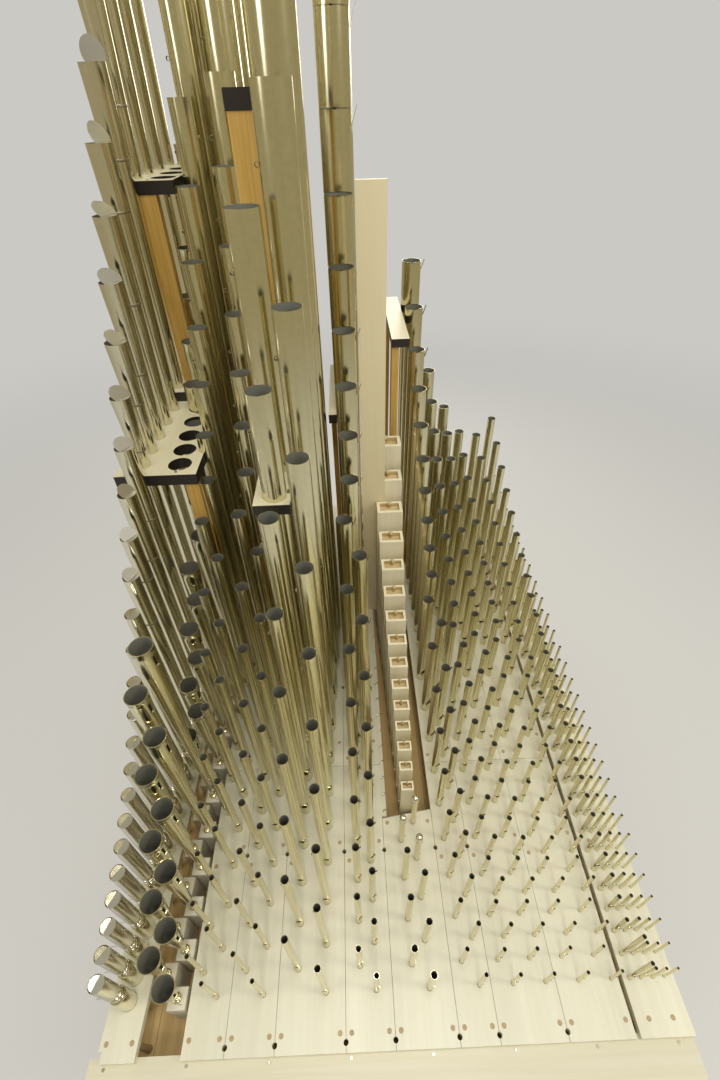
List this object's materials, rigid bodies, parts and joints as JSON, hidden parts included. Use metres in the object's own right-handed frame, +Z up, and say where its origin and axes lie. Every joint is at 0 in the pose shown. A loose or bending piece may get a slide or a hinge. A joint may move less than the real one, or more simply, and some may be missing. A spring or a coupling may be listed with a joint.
{
  "type": "pipe organ windchest with pipe ranks",
  "caption": "One division of a pipe organ: slider windchest on legs with rack boards, upper racks and ranks of metal, reed and stopped wooden pipes.",
  "frame": {"origin": "centre of the middle sleeper's underside, on the floor", "axes": "+X across the ranks to the mixture side, +Y along the notes from treble to bass, +Z up"},
  "size_m": [1.528, 2.3882, 3.8221],
  "materials": {
    "chest_wood": "satin",
    "pine": "oiled",
    "rack_plywood": "clear lacquer",
    "pipe_metal": "satin",
    "bright_metal": "polished",
    "boot_wood": "satin",
    "wooden_pipe": "satin"
  },
  "bodies": {
    "root": {"sleepers": "chest_wood", "legs": "pine", "leg_rails": "pine", "side_beams": "pine", "pallet_box": "chest_wood", "bung_boards": "chest_wood", "chest_cheeks": "chest_wood", "chest_ends": "chest_wood", "channel_bars": "chest_wood", "table_board": "chest_wood", "sliders": "chest_wood", "slider_bearers": "chest_wood", "toeboards": "chest_wood", "front_fascia": "rack_plywood", "fascia_returns": "rack_plywood", "front_cover_board": "rack_plywood", "rack_pillars": "chest_wood", "reed_rack_board": "rack_plywood", "rack_boards_left": "rack_plywood", "rack_boards_middle": "rack_plywood", "rack_boards_right": "rack_plywood", "left_upper_rack": "rack_plywood", "rear_upper_rack": "rack_plywood", "small_upper_racks": "rack_plywood", "upper_rack_posts": "pine", "reed_boots": "pipe_metal", "reed_blocks": "pipe_metal", "reed_resonators": "pipe_metal", "reed_lids": "bright_metal", "trumpet_boots": "boot_wood", "trumpet_resonators": "pipe_metal", "diapason_pipes": "pipe_metal", "salicional_pipes": "pipe_metal", "violone_pipes": "pipe_metal", "violone_bass_pipes": "pipe_metal", "gemshorn_pipes": "pipe_metal", "gemshorn_bass_pipes": "pipe_metal", "stopped_flute_pipes": "pipe_metal", "stopped_flute_caps": "bright_metal", "wooden_pipe_bodies": "wooden_pipe", "wooden_pipe_stoppers": "wooden_pipe", "octave_pipes": "pipe_metal", "quint_and_superoctave_pipes": "pipe_metal", "tierce_and_larigot_pipes": "pipe_metal", "mixture_pipes": "pipe_metal"}
  },
  "joints": []
}
